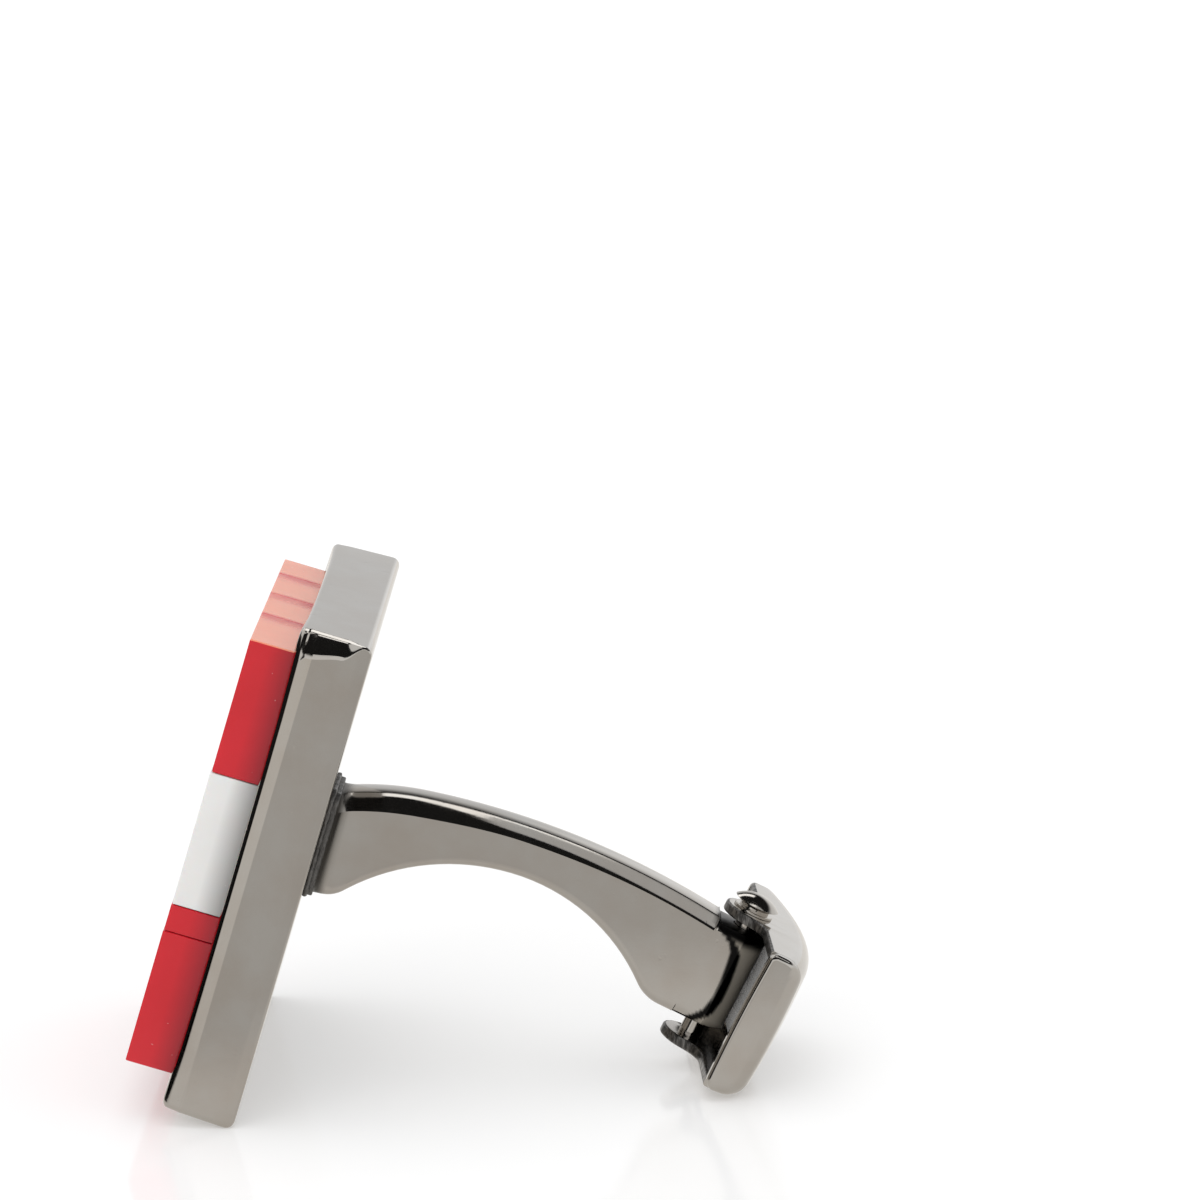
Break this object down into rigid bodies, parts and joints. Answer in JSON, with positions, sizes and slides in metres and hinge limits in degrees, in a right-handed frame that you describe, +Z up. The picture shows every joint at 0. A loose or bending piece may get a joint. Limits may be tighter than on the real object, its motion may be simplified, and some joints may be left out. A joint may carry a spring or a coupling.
{
  "type": "cufflink",
  "caption": "Square cufflink: resin blocks glued in a plated tray, an arched solid post soldered behind it, and a sprung swivel toggle riveted to the post's end.",
  "frame": {"origin": "middle of the cufflink's bounding box, at the height of the surface it lies on", "axes": "+X runs from the mosaic face to the toggle, level with the table; +Y across, away from the side the picture shows; +Z up"},
  "size_m": [0.0256, 0.019, 0.0188],
  "materials": {
    "gunmetal": "polished gunmetal plating on brass, with fine scratches",
    "red_resin": "polished cast resin, slightly translucent at the edges",
    "white_resin": "polished cast resin",
    "glue": "cured epoxy",
    "solder": "dark, slightly rough solder under the plating",
    "spring_steel": "rolled spring strip"
  },
  "bodies": {
    "link": {"base_tray": "gunmetal", "glue_bed": "glue", "top_block_1": "red_resin", "top_block_2": "red_resin", "top_block_3": "red_resin", "top_block_4": "red_resin", "strip_block_1": "red_resin", "strip_block_2": "red_resin", "low_block_1": "red_resin", "low_block_2": "red_resin", "low_block_3": "red_resin", "low_block_4": "red_resin", "white_block_1": "white_resin", "white_block_2": "white_resin", "white_block_3": "white_resin", "solder_joint": "solder", "post": "gunmetal"},
    "toggle": {"toggle_shell": "gunmetal", "toggle_pin": "gunmetal", "detent_spring": "spring_steel"}
  },
  "joints": [
    {"name": "toggle_swivel", "type": "hinge", "parent": "link", "child": "toggle", "pos_m": [0.00933, 0, 0.00357], "axis": [0.4388, 0, 0.8986], "range_deg": [-82, 74]}
  ]
}
